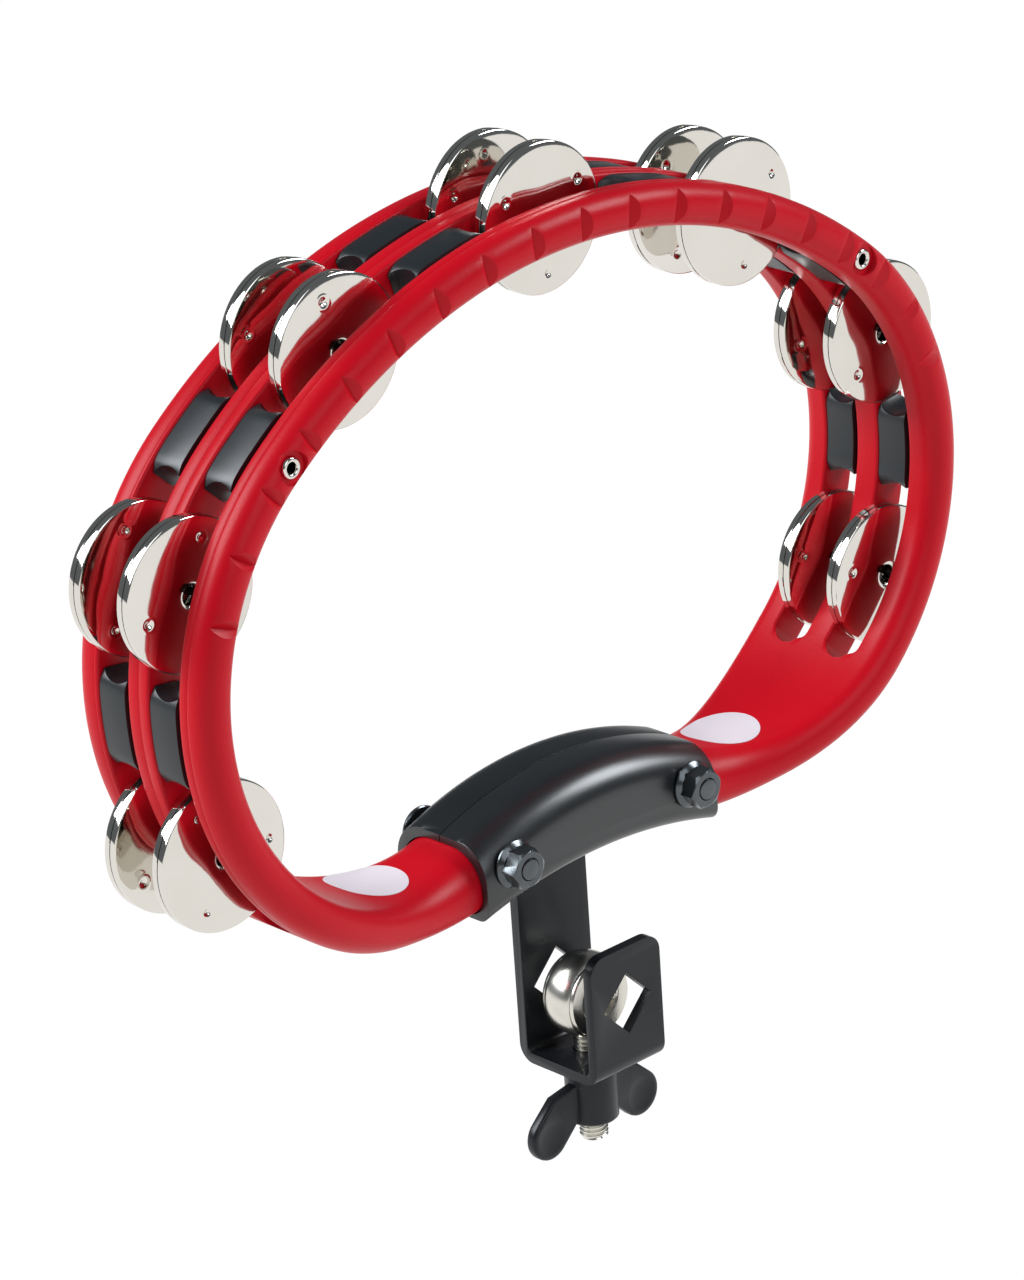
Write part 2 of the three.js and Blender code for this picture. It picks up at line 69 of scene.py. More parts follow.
camera = bpy.data.objects.new("camera", bpy.data.cameras.new("camera"))
camera.data.sensor_fit = "VERTICAL"
camera.data.sensor_height = CAMERA_SENSOR
camera.data.lens = CAMERA_LENS
camera.location = CAMERA_PLACE
camera.rotation_euler = [radians(turn) for turn in CAMERA_TURN]
scene.collection.objects.link(camera)
scene.camera = camera
scene.view_settings.view_transform = "Standard"

glow = bpy.data.materials.new("floor_glow")
glow.use_nodes = True
for socket, value in (("Base Color", (0, 0, 0, 1)), ("Specular IOR Level", 0),
                      ("Emission Color", (1, 1, 1, 1)), ("Emission Strength", FLOOR_GLOW)):
    glow.node_tree.nodes["Principled BSDF"].inputs[socket].default_value = value
floor_shape = bmesh.new()
bmesh.ops.create_circle(floor_shape, cap_ends=True, segments=96, radius=FLOOR_RADIUS)
bmesh.ops.translate(floor_shape, vec=(0, 0, FLOOR_HEIGHT), verts=floor_shape.verts)
floor_mesh = bpy.data.meshes.new("floor")
floor_shape.to_mesh(floor_mesh)
floor_shape.free()
floor_mesh.materials.append(glow)
floor = bpy.data.objects.new("floor", floor_mesh)
scene.collection.objects.link(floor)

scene.world = bpy.data.worlds.new("studio")
scene.world.use_nodes = True
scene.world.node_tree.nodes["Background"].inputs["Color"].default_value = SKY_COLOUR
scene.world.node_tree.nodes["Background"].inputs["Strength"].default_value = SKY_STRENGTH


def soft_box(name, place, size, watts):
    """A square light that faces the middle of the ring."""
    light = bpy.data.lights.new(name, "AREA")
    light.size = size
    light.energy = watts
    light.color = LIGHT_COLOUR
    lamp = bpy.data.objects.new(name, light)
    lamp.location = place
    towards = RING_MIDDLE - Vector(place)
    lamp.rotation_euler = towards.to_track_quat("-Z", "Y").to_euler()
    scene.collection.objects.link(lamp)


soft_box("key_left", (-1.5, 1.2, 1.5), 1.4, 72)
soft_box("fill_front", (-0.4, -2.2, 1.3), 1.6, 16)
soft_box("fill_right", (1.6, -1.0, 1.5), 0.9, 38)


# ---- frame ----
# One bean-shaped moulding in satin red plastic: three rails with two rows of long slots between them,
# which run together into a narrower, thicker handle. It is drawn straight, slotted, and bent round.

TOP_RADIUS = 163.8
SIDE_RADIUS = 77.4
CORNER_RADIUS = 61.9
HANDLE_RADIUS = 119.6
SIDE_CENTRE = (54.65, 122.2)
CORNER_TURN = radians(12.7)
RAIL_THICK = 5.8
GRIP_INNER = 9.7
GRIP_OUTER = 8.4
GRIP_INNER_SPAN = (22, 80)
GRIP_OUTER_SPAN = (34, 70)
GRIP_ROUND_ACROSS = 13
GRIP_ROUND_DEEP = 11
BAND_HALF = 25.25
HANDLE_HALF = 15.0
TAPER_SPAN = (43, 108)
EDGE_ROUND = 5.5
ROW = 9.8
SLOT_HALF = 5.8
SLOT_STRAIGHT = 246.2
SLOT_LIP = 0.9
SLOT_END_REACH = 14  # how far along the band a slot's round end is blended in
PARTING_LINES = (-18.9, -0.4, 16.9)
PARTING_HALF = 0.22
PARTING_DEPTH = 0.12
STATION_PITCH = 73.5
PIN_BORE_RADIUS = 1.2
PIN_BORE_LENGTH = 47
PIN_BORE_MIDDLE = 3.2
RIVET_STATIONS = (-1.5, 1.5)
RIVET_BORE_RADIUS = 2.3
RIVET_SINK_RADIUS = 4.5
RIVET_SINK_MIDDLE = 25.2
RIVET_SINK_LENGTH = 4
NOTCH_PITCH = 17
NOTCHES_EACH_SIDE = 9
NOTCH_FLOOR = -23.1
NOTCH_CUTTER = 4
NOTCH_ROUND = 0.4
BOLT_BORE_RADIUS = 3.3
THROUGH = 60  # long enough for a tool to go through the whole handle
STRIP_HALF = 13
STRIP_THICK = 3
HEAD_HALF = 38
HEAD_REACH = 5.5
HEAD_HEIGHT = 56
HEAD_RADIUS = 125
HEAD_ROOM = 0.3
RECESS_SPARE = 0.6
RECESS_FOOT = 40
RECESS_BACK = 26


def smooth_step(value, low, high):
    t = min(max((value - low) / (high - low), 0), 1)
    return t * t * (3 - 2 * t)


def centreline_arcs():
    """The arcs from the top to the middle of the handle: centre, radius, first angle, turn and way."""
    side_x, side_z = SIDE_CENTRE
    top_drop = sqrt((TOP_RADIUS - SIDE_RADIUS) ** 2 - side_x ** 2)
    top_turn = atan2(side_x, top_drop)
    corner_x = side_x + (SIDE_RADIUS - CORNER_RADIUS) * sin(CORNER_TURN)
    corner_z = side_z - (SIDE_RADIUS - CORNER_RADIUS) * cos(CORNER_TURN)
    handle_turn = asin(corner_x / (CORNER_RADIUS + HANDLE_RADIUS))
    handle_z = corner_z - (CORNER_RADIUS + HANDLE_RADIUS) * cos(handle_turn)
    corner = pi - CORNER_TURN
    return [((0, side_z - top_drop), TOP_RADIUS, 0, top_turn, 1),
            (SIDE_CENTRE, SIDE_RADIUS, top_turn, corner - top_turn, 1),
            ((corner_x, corner_z), CORNER_RADIUS, corner, CORNER_TURN + handle_turn, 1),
            ((0, handle_z), HANDLE_RADIUS, handle_turn, handle_turn, -1)]


ARCS = centreline_arcs()
HALF_LENGTH = sum(radius * turn for _, radius, _, turn, _ in ARCS)


def on_centreline(distance):
    """The point at a distance from the top, and the outward direction there, both as (x, z)."""
    side = copysign(1, distance)
    rest = min(abs(distance), HALF_LENGTH)
    for centre, radius, start, turn, way in ARCS:
        if rest <= radius * turn or way < 0:
            break
        rest -= radius * turn
    angle = start + way * rest / radius
    point = (side * (centre[0] + radius * sin(angle)), centre[1] + radius * cos(angle))
    return point, (side * way * sin(angle), way * cos(angle))


def bend(along, across, off, spare=0.0):
    """Takes a point of the straight band to its place on the bent and tapered one."""
    (x, z), (out_x, out_z) = on_centreline(along)
    wide = thin = lean = 1
    if abs(along) > SLOT_STRAIGHT:
        wide = smooth_step(abs(x), *TAPER_SPAN)
        thin = smooth_step(abs(x), *GRIP_INNER_SPAN)
        lean = smooth_step(abs(x), *GRIP_OUTER_SPAN)
    half = HANDLE_HALF + (BAND_HALF - HANDLE_HALF) * wide + spare
    round_across = round_deep = EDGE_ROUND
    if off > 0:
        off += (GRIP_OUTER - RAIL_THICK) * (1 - lean) + spare
    else:
        round_across += (GRIP_ROUND_ACROSS - EDGE_ROUND) * (1 - thin)
        round_deep += (GRIP_ROUND_DEEP - EDGE_ROUND) * (1 - thin)
        thick = RAIL_THICK + (GRIP_INNER - RAIL_THICK) * (1 - thin) + spare
        off = round_deep - thick + (off + RAIL_THICK - EDGE_ROUND) * round_deep / EDGE_ROUND
    flat = BAND_HALF - EDGE_ROUND
    beyond = max(abs(across) - flat, 0) * round_across / EDGE_ROUND
    y = copysign(min(abs(across), flat) * (half - round_across) / flat + beyond, across)
    return Vector((x + off * out_x, y, z + off * out_z))


def straight_band(across_lines, spans):
    """The band before it is bent: its rounded section, ruled at each line, pulled out span by span."""
    bar = bmesh.new()
    outline = ((-1, -1), (1, -1), (1, 1), (-1, 1))
    corners = [bar.verts.new((-HALF_LENGTH, BAND_HALF * y, RAIL_THICK * z)) for y, z in outline]
    bar.faces.new(corners)
    bmesh.ops.bevel(bar, geom=corners, offset=EDGE_ROUND, segments=8, profile=0.5, affect="VERTICES",
                    material=-1)
    bmesh.ops.delete(bar, geom=bar.faces[:], context="FACES_ONLY")
    for y in across_lines:
        bmesh.ops.bisect_plane(bar, geom=bar.verts[:] + bar.edges[:], plane_co=(0, y, 0),
                               plane_no=(0, 1, 0))
    ring = bar.verts[:] + bar.edges[:]
    for length, steps in spans:
        ring = bmesh.ops.spin(bar, geom=ring, cent=(0, 0, 0), axis=(1, 0, 0), angle=0, steps=steps,
                              dvec=(length / steps, 0, 0))["geom_last"]
    return bar


def bend_band(bar, spare=0.0):
    """Bends the straight band round and closes it in the handle."""
    for vert in bar.verts:
        vert.co = bend(*vert.co, spare)
    bmesh.ops.remove_doubles(bar, verts=bar.verts, dist=0.01)
    bmesh.ops.recalc_face_normals(bar, faces=bar.faces)
    return bar


def sharp_edges(shape, sharper_than, where=lambda edge: True):
    """The edges between two faces that turn sharper than an angle."""
    return [edge for edge in shape.edges if len(edge.link_faces) == 2
            and edge.calc_face_angle() > radians(sharper_than) and where(edge)]


def round_off(shape, edges, width, steps, clamp=True):
    bmesh.ops.bevel(shape, geom=edges, offset=width, segments=steps, profile=0.5, affect="EDGES",
                    clamp_overlap=clamp, material=-1)


def soften(shape, width, steps=2, sharper_than=30, where=lambda edge: True):
    """Rounds every edge that turns sharper than an angle."""
    round_off(shape, sharp_edges(shape, sharper_than, where), width, steps)


def everything(shape):
    return shape.verts[:] + shape.edges[:] + shape.faces[:]


def only(kind, geometry):
    """The vertices or the edges of what an operator gives back."""
    return [element for element in geometry if isinstance(element, kind)]


slot_columns = [SLOT_HALF * sin(radians(turn)) for turn in range(-90, 91, 30)]
across_lines = [side * ROW + column for side in (-1, 1) for column in slot_columns]
across_lines += [line + shift for line in PARTING_LINES for shift in (-PARTING_HALF, 0, PARTING_HALF)]
handle_length = HALF_LENGTH - SLOT_STRAIGHT
spans = [(handle_length, 46), (2 * SLOT_STRAIGHT, 210), (handle_length, 46)]
band = straight_band(across_lines, spans)

for vert in band.verts:
    on_line = any(abs(vert.co.y - line) < 0.01 for line in PARTING_LINES)
    if on_line and vert.co.z > RAIL_THICK - 0.01:
        vert.co.z -= PARTING_DEPTH


def in_slot(face):
    x, y, z = (abs(part) for part in face.calc_center_median())
    return x < SLOT_STRAIGHT and abs(y - ROW) < SLOT_HALF and z > RAIL_THICK - 0.3


bmesh.ops.delete(band, geom=[face for face in band.faces if in_slot(face)], context="FACES")
outer_rims = [edge for edge in band.edges if edge.is_boundary and edge.verts[0].co.z > 0
              and abs(edge.verts[0].co.x) < HALF_LENGTH - 1]
walls = bmesh.ops.extrude_edge_only(band, edges=outer_rims)["geom"]
bmesh.ops.translate(band, vec=(0, 0, -2 * RAIL_THICK), verts=only(bmesh.types.BMVert, walls))
bmesh.ops.remove_doubles(band, verts=band.verts, dist=0.01)

for vert in band.verts:
    beyond = abs(vert.co.x) - SLOT_STRAIGHT
    aside = (abs(vert.co.y) - ROW) / SLOT_HALF
    if -0.01 < beyond < SLOT_END_REACH and abs(aside) < 1:
        bulge = SLOT_HALF * sqrt(1 - aside ** 2) * (1 - beyond / SLOT_END_REACH)
        vert.co.x += copysign(bulge, vert.co.x)

round_off(band, sharp_edges(band, 60), SLOT_LIP, 3, clamp=False)
band = bend_band(band)


def arched_bar(low_y, high_y, half, reach):
    """A bar that follows the handle's arch, bent about a point below it."""
    bar = bmesh.new()
    turn = asin(half / HEAD_RADIUS)
    centre = Vector((0, 0, HEAD_HEIGHT - HEAD_RADIUS))
    section = [bar.verts.new((0, y, HEAD_HEIGHT + side * reach))
               for y, side in ((low_y, -1), (high_y, -1), (high_y, 1), (low_y, 1))]
    bar.faces.new(section)
    bmesh.ops.rotate(bar, cent=centre, matrix=Matrix.Rotation(-turn, 3, "Y"), verts=bar.verts)
    bmesh.ops.spin(bar, geom=everything(bar), cent=centre, axis=(0, 1, 0), angle=2 * turn, steps=24,
                   dvec=(0, 0, 0))
    bmesh.ops.recalc_face_normals(bar, faces=bar.faces)
    return bar


def box_mm(node):
    """The lowest and highest corner of a node, and its middle, in millimetres."""
    low, high = (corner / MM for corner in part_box(node))
    return low, high, (low + high) / 2


def round_bar(shape, radius, middle, length, axis="Y", sides=32):
    """Adds a closed cylinder about a middle point, in millimetres."""
    turn = {"X": Matrix.Rotation(pi / 2, 4, "Y"), "Y": Matrix.Rotation(pi / 2, 4, "X"), "Z": Matrix()}[axis]
    return bmesh.ops.create_cone(shape, cap_ends=True, segments=sides, radius1=radius, radius2=radius,
                                 depth=length, matrix=Matrix.Translation(middle) @ turn)


def block(shape, low, high):
    """Adds a closed box between two corners, in millimetres."""
    low, high = Vector(low), Vector(high)
    size = high - low
    place = Matrix.Translation((low + high) / 2) @ Matrix.Diagonal((*size, 1))
    return bmesh.ops.create_cube(shape, size=1, matrix=place)


def carve(shape, tool, operation="DIFFERENCE"):
    """Cuts, joins or intersects two closed shapes, and gives the new one."""
    both = []
    for source in (shape, tool):
        bmesh.ops.recalc_face_normals(source, faces=source.faces)
        mesh = bpy.data.meshes.new("blank")
        source.to_mesh(mesh)
        source.free()
        both.append(bpy.data.objects.new("blank", mesh))
        scene.collection.objects.link(both[-1])
    change = both[0].modifiers.new("carve", "BOOLEAN")
    change.operation = operation
    change.object = both[1]
    change.solver = "EXACT"
    result = bmesh.new()
    result.from_object(both[0], bpy.context.evaluated_depsgraph_get())
    for blank in both:
        mesh = blank.data
        bpy.data.objects.remove(blank)
        bpy.data.meshes.remove(mesh)
    return result


bolt_place = box_mm("handle_bolt_right")[2]


def add_bolt_bores(tool, sides=(-1, 1), y=0.0, length=THROUGH):
    for side in sides:
        round_bar(tool, BOLT_BORE_RADIUS, (side * bolt_place.x, y, bolt_place.z), length)


strip_back = box_mm("clamp_bracket")[1].y
recess_floor = strip_back - STRIP_THICK - HEAD_ROOM
neck_half = STRIP_HALF + RECESS_SPARE
neck = bmesh.new()
block(neck, (-neck_half, recess_floor, RECESS_FOOT), (neck_half, RECESS_BACK, HEAD_HEIGHT))
recess = arched_bar(recess_floor, RECESS_BACK, HEAD_HALF + RECESS_SPARE, HEAD_REACH + RECESS_SPARE)
band = carve(band, carve(recess, neck, "UNION"))

cuts = bmesh.new()
rivet_bores = bmesh.new()
add_bolt_bores(cuts)
for count in range(-NOTCHES_EACH_SIDE, NOTCHES_EACH_SIDE + 1):
    (x, z), (out_x, out_z) = on_centreline(count * NOTCH_PITCH)
    wedge = bmesh.ops.create_cone(cuts, cap_ends=True, segments=4, radius1=NOTCH_CUTTER,
                                  radius2=NOTCH_CUTTER, depth=2 * RAIL_THICK)
    place = Matrix.Translation((x, NOTCH_FLOOR - NOTCH_CUTTER, z))
    bmesh.ops.transform(cuts, matrix=place @ Matrix.Rotation(atan2(out_x, out_z), 4, "Y"),
                        verts=wedge["verts"])
for station in range(-3, 4):
    (x, z), _ = on_centreline(station * STATION_PITCH)
    round_bar(cuts, PIN_BORE_RADIUS, (x, PIN_BORE_MIDDLE, z), PIN_BORE_LENGTH, sides=24)
for station in RIVET_STATIONS:
    (x, z), _ = on_centreline(station * STATION_PITCH)
    round_bar(rivet_bores, RIVET_BORE_RADIUS, (x, 0, z), THROUGH, sides=24)
    for side in (-1, 1):
        round_bar(cuts, RIVET_SINK_RADIUS, (x, side * RIVET_SINK_MIDDLE, z), RIVET_SINK_LENGTH, sides=40)
band = carve(carve(band, cuts), rivet_bores)
bmesh.ops.remove_doubles(band, verts=band.verts, dist=0.002)
soften(band, NOTCH_ROUND, 2, 25, lambda edge: all(vert.co.y < NOTCH_FLOOR + 0.3 for vert in edge.verts))


class Field:
    """What one socket gives over a surface. Arithmetic on it adds Math nodes."""

    def __init__(self, finish, socket):
        self.finish = finish
        self.socket = socket

    def math(self, operation, *terms):
        return self.finish.node("Math", {"operation": operation}, dict(enumerate(terms)))

    def __add__(self, other):
        return self.math("ADD", self, other)

    def __radd__(self, other):
        return self.math("ADD", other, self)

    def __sub__(self, other):
        return self.math("SUBTRACT", self, other)

    def __rsub__(self, other):
        return self.math("SUBTRACT", other, self)

    def __mul__(self, other):
        return self.math("MULTIPLY", self, other)

    def __rmul__(self, other):
        return self.math("MULTIPLY", other, self)

    def __gt__(self, other):
        return self.math("GREATER_THAN", self, other)


class Finish:
    """A material built round one Principled shader, on Object coordinates."""

    def __init__(self, name, constants):
        self.material = bpy.data.materials.new(name)
        self.material.use_nodes = True
        self.tree = self.material.node_tree
        self.shader = self.tree.nodes["Principled BSDF"]
        for socket, value in constants.items():
            self.shader.inputs[socket].default_value = value
        self.where = self.node("TexCoord", {}, {}, "Object")

    def node(self, kind, settings, inputs, output=0):
        """Adds a node: its settings first, then a value or a link for each socket named in inputs."""
        made = self.tree.nodes.new("ShaderNode" + kind)
        for name, value in settings.items():
            setattr(made, name, value)
        for socket, value in inputs.items():
            if isinstance(value, Field):
                self.tree.links.new(value.socket, made.inputs[socket])
            else:
                made.inputs[socket].default_value = value
        return Field(self, made.outputs[output])

    def noise(self, scale, detail=2.0, roughness=0.5):
        return self.node("TexNoise", {}, {"Vector": self.where, "Scale": scale, "Detail": detail,
                                          "Roughness": roughness})

    def between(self, low, high, factor):
        """A colour that runs from low to high."""
        return self.node("Mix", {"data_type": "RGBA"}, {0: factor, 6: (*low, 1), 7: (*high, 1)}, 2)

    def feed(self, socket, field):
        self.tree.links.new(field.socket, self.shader.inputs[socket])

    def relief(self, height, distance, strength=1.0):
        """Raises the surface by height times distance, in metres."""
        bump = self.node("Bump", {}, {"Height": height, "Distance": distance, "Strength": strength})
        self.feed("Normal", bump)


def add_piece(shape, name, finish, body, replaced, crease=32):
    """Makes a piece, in metres, of a shape drawn in millimetres, and puts it in its place in the object."""
    bmesh.ops.scale(shape, vec=(MM, MM, MM), verts=shape.verts)
    bmesh.ops.recalc_face_normals(shape, faces=shape.faces)
    mesh = bpy.data.meshes.new(name)
    shape.to_mesh(mesh)
    shape.free()
    mesh.polygons.foreach_set("use_smooth", [True] * len(mesh.polygons))
    mesh.set_sharp_from_angle(angle=radians(crease))
    mesh.materials.append(finish.material)
    piece = bpy.data.objects.new(name, mesh)
    scene.collection.objects.link(piece)
    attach(piece, body)
    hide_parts(*replaced)
    return piece


red = Finish("moulded_red", {"Specular IOR Level": 0.17})
tone = red.noise(38)
grain = red.noise(1100, 3, 0.6)
red.feed("Base Color", red.between((0.46, 0.0012, 0.008), (0.54, 0.0025, 0.013), tone))
red.feed("Roughness", 0.33 + tone * 0.08)
red.relief(grain, 0.0001, 0.5)
add_piece(band, "tambourine_frame", red, "root", ["frame"])


# ---- separators ----
# Twelve satin black plastic blocks, two in each stretch of frame between jingles. Each is pressed into
# its slot against the back rail's side, is hollowed at both ends for the discs, and has rounded edges.

SEPARATOR_LENGTH = 26
SEPARATOR_DISH = 2.75
SEPARATOR_THICK = 5.4
SEPARATOR_SIDES = (-4.2, 5.45)
SEPARATOR_ROUND = 0.9
SEPARATOR_END_ROUND = 1.5
RIB_PITCH = 1.3
CROWN_REACH = 5  # how far from each end the faces start to fall away
CROWN_FALL = 0.37

black = Finish("moulded_black", {"Specular IOR Level": 0.5})
cloud = black.noise(60)
pores = black.noise(2200, 3, 0.6)
black.feed("Base Color", black.between((0.006, 0.009, 0.011), (0.012, 0.016, 0.019), cloud))
black.feed("Roughness", 0.30 + cloud * 0.10)
black.relief(pores, 0.00006, 0.35)


def make_separator(station, row):
    shape = bmesh.new()
    front, back = SEPARATOR_SIDES
    half = SEPARATOR_LENGTH / 2
    block(shape, (-half, row + front, -SEPARATOR_THICK), (half, row + back, SEPARATOR_THICK))
    dish_radius = (SLOT_HALF ** 2 + SEPARATOR_DISH ** 2) / (2 * SEPARATOR_DISH)
    dishes = bmesh.new()
    for end in (-1, 1):
        centre = end * (half - SEPARATOR_DISH + dish_radius)
        round_bar(dishes, dish_radius, (centre, row, 0), 4 * SEPARATOR_THICK, "Z", 64)
    if station in RIVET_STATIONS:
        round_bar(dishes, RIVET_BORE_RADIUS, (0, row, 0), 4 * ROW, "Y", 24)
    shape = carve(shape, dishes)
    bmesh.ops.dissolve_limit(shape, angle_limit=radians(1), verts=shape.verts, edges=shape.edges)
    tips = half - SEPARATOR_DISH - 1.2
    soften(shape, SEPARATOR_END_ROUND, 4,
           where=lambda edge: all(abs(vert.co.x) > tips for vert in edge.verts))
    soften(shape, SEPARATOR_ROUND, 3, 40)
    x = RIB_PITCH - half
    while x < half:
        bmesh.ops.bisect_plane(shape, geom=everything(shape), plane_co=(x, 0, 0), plane_no=(1, 0, 0))
        x += RIB_PITCH
    for vert in shape.verts:
        along, across, off = vert.co
        near_end = max(abs(along) - half + CROWN_REACH, 0) / CROWN_REACH
        vert.co = bend(station * STATION_PITCH + along, across, off * (1 - CROWN_FALL * near_end ** 2))
    return shape


for row_name, row in (("front", -ROW), ("back", ROW)):
    for number in range(1, 7):
        node = f"separator_{row_name}_{number}"
        shape = make_separator(number - 3.5, row)
        add_piece(shape, f"{node}_block", black, "root", [node])


# ---- eyelet rivets ----
# Two bright nickel-plated tubes that go through all three rails and a separator in each row. Both ends
# are rolled over into a lip that sits in a round sink and holds the rails together.

def turned(profile, sides=64, closed=True):
    """Spins an outline of (radius, height) round Z."""
    shape = bmesh.new()
    verts = [shape.verts.new((radius, 0, height)) for radius, height in profile]
    ends = verts[1:] + verts[:1] if closed else verts[1:]
    edges = [shape.edges.new(pair) for pair in zip(verts, ends)]
    bmesh.ops.spin(shape, geom=verts + edges, cent=(0, 0, 0), axis=(0, 0, 1), angle=2 * pi, steps=sides,
                   use_merge=True)
    bmesh.ops.remove_doubles(shape, verts=shape.verts, dist=0.001)
    return shape


def stand_along_y(shape, place):
    """Turns a shape drawn along Z so that its +Z end points to the front, and moves it to its place."""
    turn = Matrix.Rotation(pi / 2, 4, "X")
    bmesh.ops.transform(shape, matrix=Matrix.Translation(place) @ turn, verts=shape.verts)
    return shape


nickel = Finish("polished_nickel", {"Metallic": 1.0})
plate_tone = nickel.noise(45)
ripple = nickel.noise(130, 1)
scratch = nickel.noise(2600, 2, 0.7)
nickel.feed("Base Color", nickel.between((0.66, 0.63, 0.57), (0.78, 0.755, 0.71), plate_tone))
nickel.feed("Roughness", 0.04 + plate_tone * 0.05)
nickel.relief(ripple + scratch * 0.02, 0.0001, 0.6)

RIVET_BORE = 1.45
RIVET_TUBE = 1.95
LIP_RADIUS = 0.72

for number in (1, 2):
    node = f"rivet_{number}"
    low, high, middle = box_mm(node)
    reach = (high.y - low.y) / 2
    lip = [(high.x - middle.x - LIP_RADIUS * (1 - cos(turn)), reach - LIP_RADIUS * (1 - sin(turn)))
           for turn in (radians(step * 30) for step in range(0, 7))]
    outline = lip + [(RIVET_BORE, reach - 2 * LIP_RADIUS)]
    outline += [(radius, -height) for radius, height in reversed(outline)]
    outline += [(RIVET_TUBE, LIP_RADIUS - reach), (RIVET_TUBE, reach - LIP_RADIUS)]
    shape = stand_along_y(turned(outline, 40), middle)
    add_piece(shape, f"{node}_eyelet", nickel, "root", [node])


# ---- jingle pins ----
# Seven plain pins of dark drawn steel, each of which carries the four discs of a station. They are
# driven through the back rail and the middle rail into the front rail, and stay there by their fit.

steel = Finish("drawn_steel", {"Metallic": 0.9})
drawn = steel.node("Mapping", {}, {"Vector": steel.where, "Scale": (900, 60, 900)})
streak = steel.node("TexNoise", {}, {"Vector": drawn, "Scale": 1.0})
steel.feed("Base Color", steel.between((0.035, 0.028, 0.024), (0.10, 0.085, 0.075), streak))
steel.feed("Roughness", 0.3 + streak * 0.2)
steel.relief(streak, 0.00003, 0.4)

for number in range(1, 8):
    node = f"jingle_pin_{number}"
    low, high, middle = box_mm(node)
    shape = bmesh.new()
    round_bar(shape, high.x - middle.x, middle, high.y - low.y, sides=28)
    soften(shape, 0.3, 2, 60)
    add_piece(shape, f"{node}_wire", steel, "root", [node])


# ---- jingles ----
# Twenty-eight discs stamped from thin sheet and nickel plated, in facing pairs. Each has a low boss with
# a funnel round its wide hole, three punched dimples, and a rim turned back towards its partner.

# The disc's section as (radius, height): up the funnel, out over the dome, round the rim, and back inside.
JINGLE_OUTLINE = [
    (2.5, -0.4), (2.55, -0.1), (2.75, 0.25), (3.1, 0.55), (3.6, 0.77), (4.2, 0.86), (5.1, 0.88),
    (6.5, 0.8), (8.2, 0.68), (10, 0.58), (12, 0.5), (13, 0.465), (14, 0.43), (15, 0.39), (16, 0.34),
    (17, 0.26), (18.4, 0.12), (19.5, -0.04), (19.8, -0.12), (19.95, -0.26), (20, -0.45), (20, -1.9),
    (19.92, -2.02), (19.6, -2.05), (19.5, -1.9), (19.45, -0.9), (19.0, -0.55), (17, -0.26), (15, -0.13),
    (13, -0.05), (10, 0.05), (6.5, 0.28), (4.9, 0.3), (3.7, 0.1), (3.1, -0.3), (2.9, -0.4)]
DIMPLE_PLACE = 14.6
DIMPLE_RADIUS = 1.35
DIMPLE_DEPTH = 0.6
DIMPLE_COUNT = 3
DIMPLE_PATCH = 3.4
SPINS = {"jingle_2_back_fore": 106, "jingle_2_front_fore": 73, "jingle_3_back_fore": 162,
         "jingle_3_front_fore": 108, "jingle_4_front_fore": 151, "jingle_4_back_fore": 36,
         "jingle_7_back_fore": 159, "jingle_7_front_fore": 161}
SPIN_STEP = 47
JINGLE_DOME = 0.9


def dimple_depth(distance):
    """How far the sheet is driven in at a distance from the punch, with a slight swell round it."""
    pit = max(1 - (distance / DIMPLE_RADIUS) ** 2, 0) ** 2
    swell = max(1 - abs(distance / DIMPLE_RADIUS - 1.35) / 0.6, 0) ** 2
    return DIMPLE_DEPTH * pit - 0.1 * swell


def make_disc():
    """One disc about Z, its outer face up."""
    disc = turned(JINGLE_OUTLINE, 72)
    for turn in range(DIMPLE_COUNT):
        angle = 2 * pi * turn / DIMPLE_COUNT
        punch = Vector((DIMPLE_PLACE * cos(angle), DIMPLE_PLACE * sin(angle)))
        near = [edge for edge in disc.edges if all((vert.co.xy - punch).length < DIMPLE_PATCH
                                                   and vert.co.z > -0.7 for vert in edge.verts)]
        bmesh.ops.subdivide_edges(disc, edges=near, cuts=3, use_grid_fill=True)
        for vert in disc.verts:
            distance = (vert.co.xy - punch).length
            if distance < 2 * DIMPLE_RADIUS + 0.1:
                vert.co.z -= dimple_depth(distance)
    return disc


disc_mesh = bpy.data.meshes.new("disc_blank")
disc_blank = make_disc()
disc_blank.to_mesh(disc_mesh)
disc_blank.free()
nodes = [f"jingle_{station}_{row}_{facing}" for station in range(1, 8) for row in ("front", "back")
         for facing in ("fore", "rear")]
for count, node in enumerate(nodes):
    low, high, middle = box_mm(node)
    fore = node.endswith("fore")
    face = low.y + JINGLE_DOME if fore else high.y - JINGLE_DOME
    spin = Matrix.Rotation(radians(SPINS.get(node, count * SPIN_STEP)), 4, "Z")
    shape = bmesh.new()
    shape.from_mesh(disc_mesh)
    flip = Matrix() if fore else Matrix.Rotation(pi, 4, "Z")
    upright = Matrix.Rotation(pi / 2, 4, "X")
    place = Matrix.Translation((middle.x, face, middle.z))
    bmesh.ops.transform(shape, matrix=place @ flip @ upright @ spin, verts=shape.verts)
    add_piece(shape, f"{node}_disc", nickel, node, [node])
bpy.data.meshes.remove(disc_mesh)


# ---- clamp strip ----
# One strip of 3 mm steel, bent into a U and powder coated black. Its long leg goes up into the handle,
# where its arched head is bolted; each leg has a square hole on its corner for the rod.

STRIP_FRONT_TOP = 16.5
STRIP_CORNER = 5
STRIP_BEND = 5
STRIP_EDGE = 0.45
DIAMOND_SIDE = 12.7
STUD_BORE_RADIUS = 4.3

